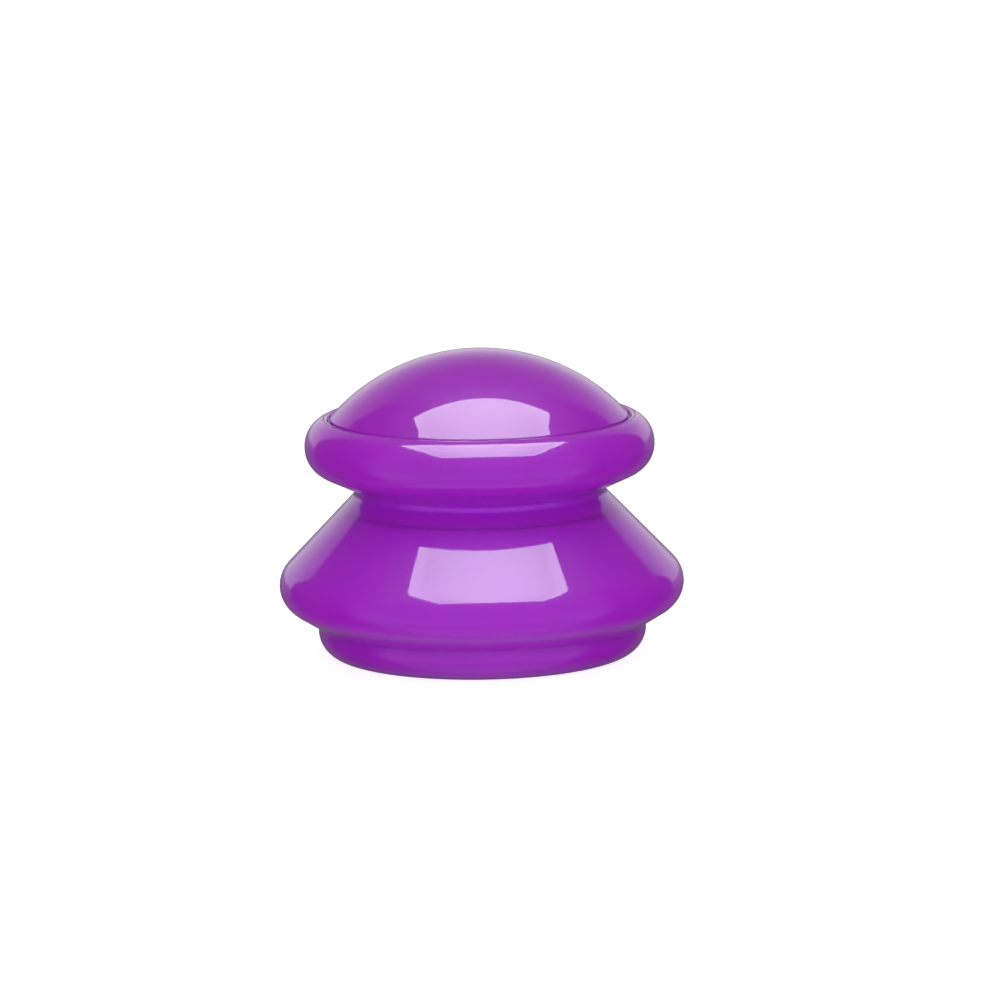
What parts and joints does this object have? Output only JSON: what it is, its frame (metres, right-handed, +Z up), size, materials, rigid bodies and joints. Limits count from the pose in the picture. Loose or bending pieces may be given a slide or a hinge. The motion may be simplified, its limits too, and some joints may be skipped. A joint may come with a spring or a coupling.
{
  "type": "silicone cupping cup",
  "caption": "Soft silicone suction cup for massage: a wide bell with a thick mouth lip, a waist, a grip collar and a dome that is pressed in.",
  "frame": {"origin": "centre of the mouth, on the plane that the lip rests on", "axes": "+Z up along the axis of revolution, from the mouth to the dome; X and Y across it"},
  "size_m": [0.058, 0.058, 0.0441],
  "materials": {
    "silicone": "glossy translucent violet silicone"
  },
  "bodies": {
    "bell": {"mouth_lip": "silicone", "shoulder_ring": "silicone", "cone_wall": "silicone"},
    "waist": {"neck_root": "silicone"},
    "collar": {"neck_band": "silicone", "grip_collar": "silicone", "dome_fold": "silicone"},
    "dome": {"press_dome": "silicone"}
  },
  "joints": [
    {"name": "neck_tilt", "type": "hinge", "parent": "bell", "child": "waist", "pos_m": [0, 0, 0.0192], "axis": [1, 0, 0], "range_deg": [-8, 8], "stiffness_Nm_per_rad": 0.4, "deforming": ["neck_root"]},
    {"name": "neck_squeeze", "type": "slide", "parent": "waist", "child": "collar", "axis": [0, 0, -1], "range_m": [0, 0.003], "stiffness_N_per_m": 1500, "deforming": ["neck_band"]},
    {"name": "dome_press", "type": "slide", "parent": "collar", "child": "dome", "axis": [0, 0, -1], "range_m": [0, 0.009], "stiffness_N_per_m": 500, "deforming": ["dome_fold"]}
  ]
}
